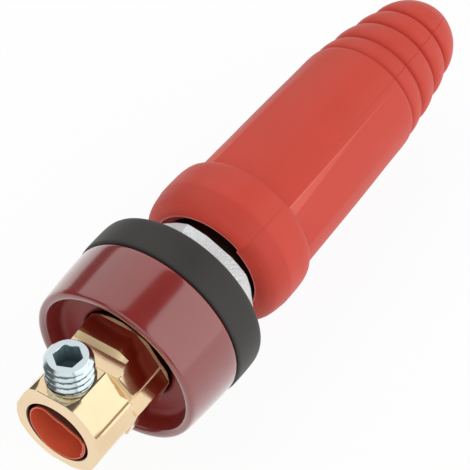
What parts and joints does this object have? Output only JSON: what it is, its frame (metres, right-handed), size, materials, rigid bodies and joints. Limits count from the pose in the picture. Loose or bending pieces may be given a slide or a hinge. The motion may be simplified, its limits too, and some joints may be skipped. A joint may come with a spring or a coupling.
{
  "type": "welding cable connector",
  "caption": "Twist-lock welding cable coupler: brass plug clamp with set screw in an insulated panel socket with rubber ring, hexagon nut and ribbed rubber sleeve.",
  "frame": {"origin": "on the connector's axis, in the plane of the rubber ring's rear face, which seats on the panel", "axes": "+X along the axis from the plug towards the rubber sleeve, +Z the way the clamping screw points, +Y to the left of that"},
  "size_m": [0.1462, 0.0426, 0.0426],
  "materials": {
    "brass": "machined",
    "zinc_steel": "bright zinc plated",
    "copper": "rolled copper foil",
    "shell_plastic": "glossy",
    "black_rubber": "matt",
    "red_rubber": "satin"
  },
  "bodies": {
    "socket": {"front_shell": "shell_plastic", "rubber_ring": "black_rubber", "socket_body": "brass"},
    "plug": {"plug_body": "brass", "copper_wrap": "copper"},
    "screw": {"clamp_screw": "zinc_steel"},
    "nut": {"panel_nut": "zinc_steel"},
    "terminal": {"terminal_screw": "zinc_steel", "plain_washer": "zinc_steel", "spring_washer": "zinc_steel"},
    "sleeve": {"rear_sleeve": "red_rubber"}
  },
  "joints": [
    {"name": "twist_lock", "type": "hinge", "parent": "socket", "child": "plug", "pos_m": [0, 0, 0], "axis": [1, 0, 0], "range_deg": [0, 90]},
    {"name": "clamp_screw_travel", "type": "slide", "parent": "plug", "child": "screw", "axis": [0, 0, 1], "range_m": [0, 0.006]},
    {"name": "nut_travel", "type": "slide", "parent": "socket", "child": "nut", "axis": [1, 0, 0], "range_m": [0, 0.002]},
    {"name": "terminal_screw_travel", "type": "slide", "parent": "socket", "child": "terminal", "axis": [1, 0, 0], "range_m": [0, 0.005]},
    {"name": "sleeve_pull", "type": "slide", "parent": "socket", "child": "sleeve", "axis": [1, 0, 0], "range_m": [0, 0.06]}
  ]
}
